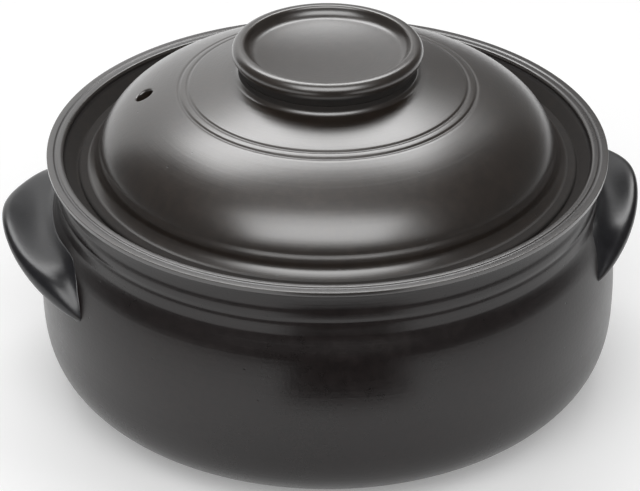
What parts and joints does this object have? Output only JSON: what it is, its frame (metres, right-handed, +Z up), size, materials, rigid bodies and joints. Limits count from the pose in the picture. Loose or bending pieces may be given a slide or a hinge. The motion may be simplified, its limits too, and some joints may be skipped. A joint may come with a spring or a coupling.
{
  "type": "lidded clay pot",
  "caption": "Round glazed clay cooking pot with ear lugs, a ridged neck and an inner ledge, under a loose domed lid with a dished disc knob and a steam vent.",
  "frame": {"origin": "on the table under the middle of the pot's foot", "axes": "+Z up along the pot's axis, +X towards the right lug, -Y towards the viewer"},
  "size_m": [0.263, 0.2388, 0.1486],
  "materials": {
    "pot_glaze": "satin",
    "lug_glaze": "satin",
    "lid_glaze": "satin gloss"
  },
  "bodies": {
    "pot": {"pot_base": "pot_glaze", "pot_lower_wall": "pot_glaze", "pot_upper_wall": "pot_glaze", "pot_collar": "pot_glaze", "handle_left": "lug_glaze", "handle_right": "lug_glaze"},
    "lid": {"lid_flange": "lid_glaze", "lid_dome": "lid_glaze", "lid_knob": "lid_glaze"}
  },
  "joints": [
    {"name": "lid_lift", "type": "slide", "parent": "pot", "child": "lid", "axis": [0, 0, 1], "range_m": [0, 0.12]}
  ]
}
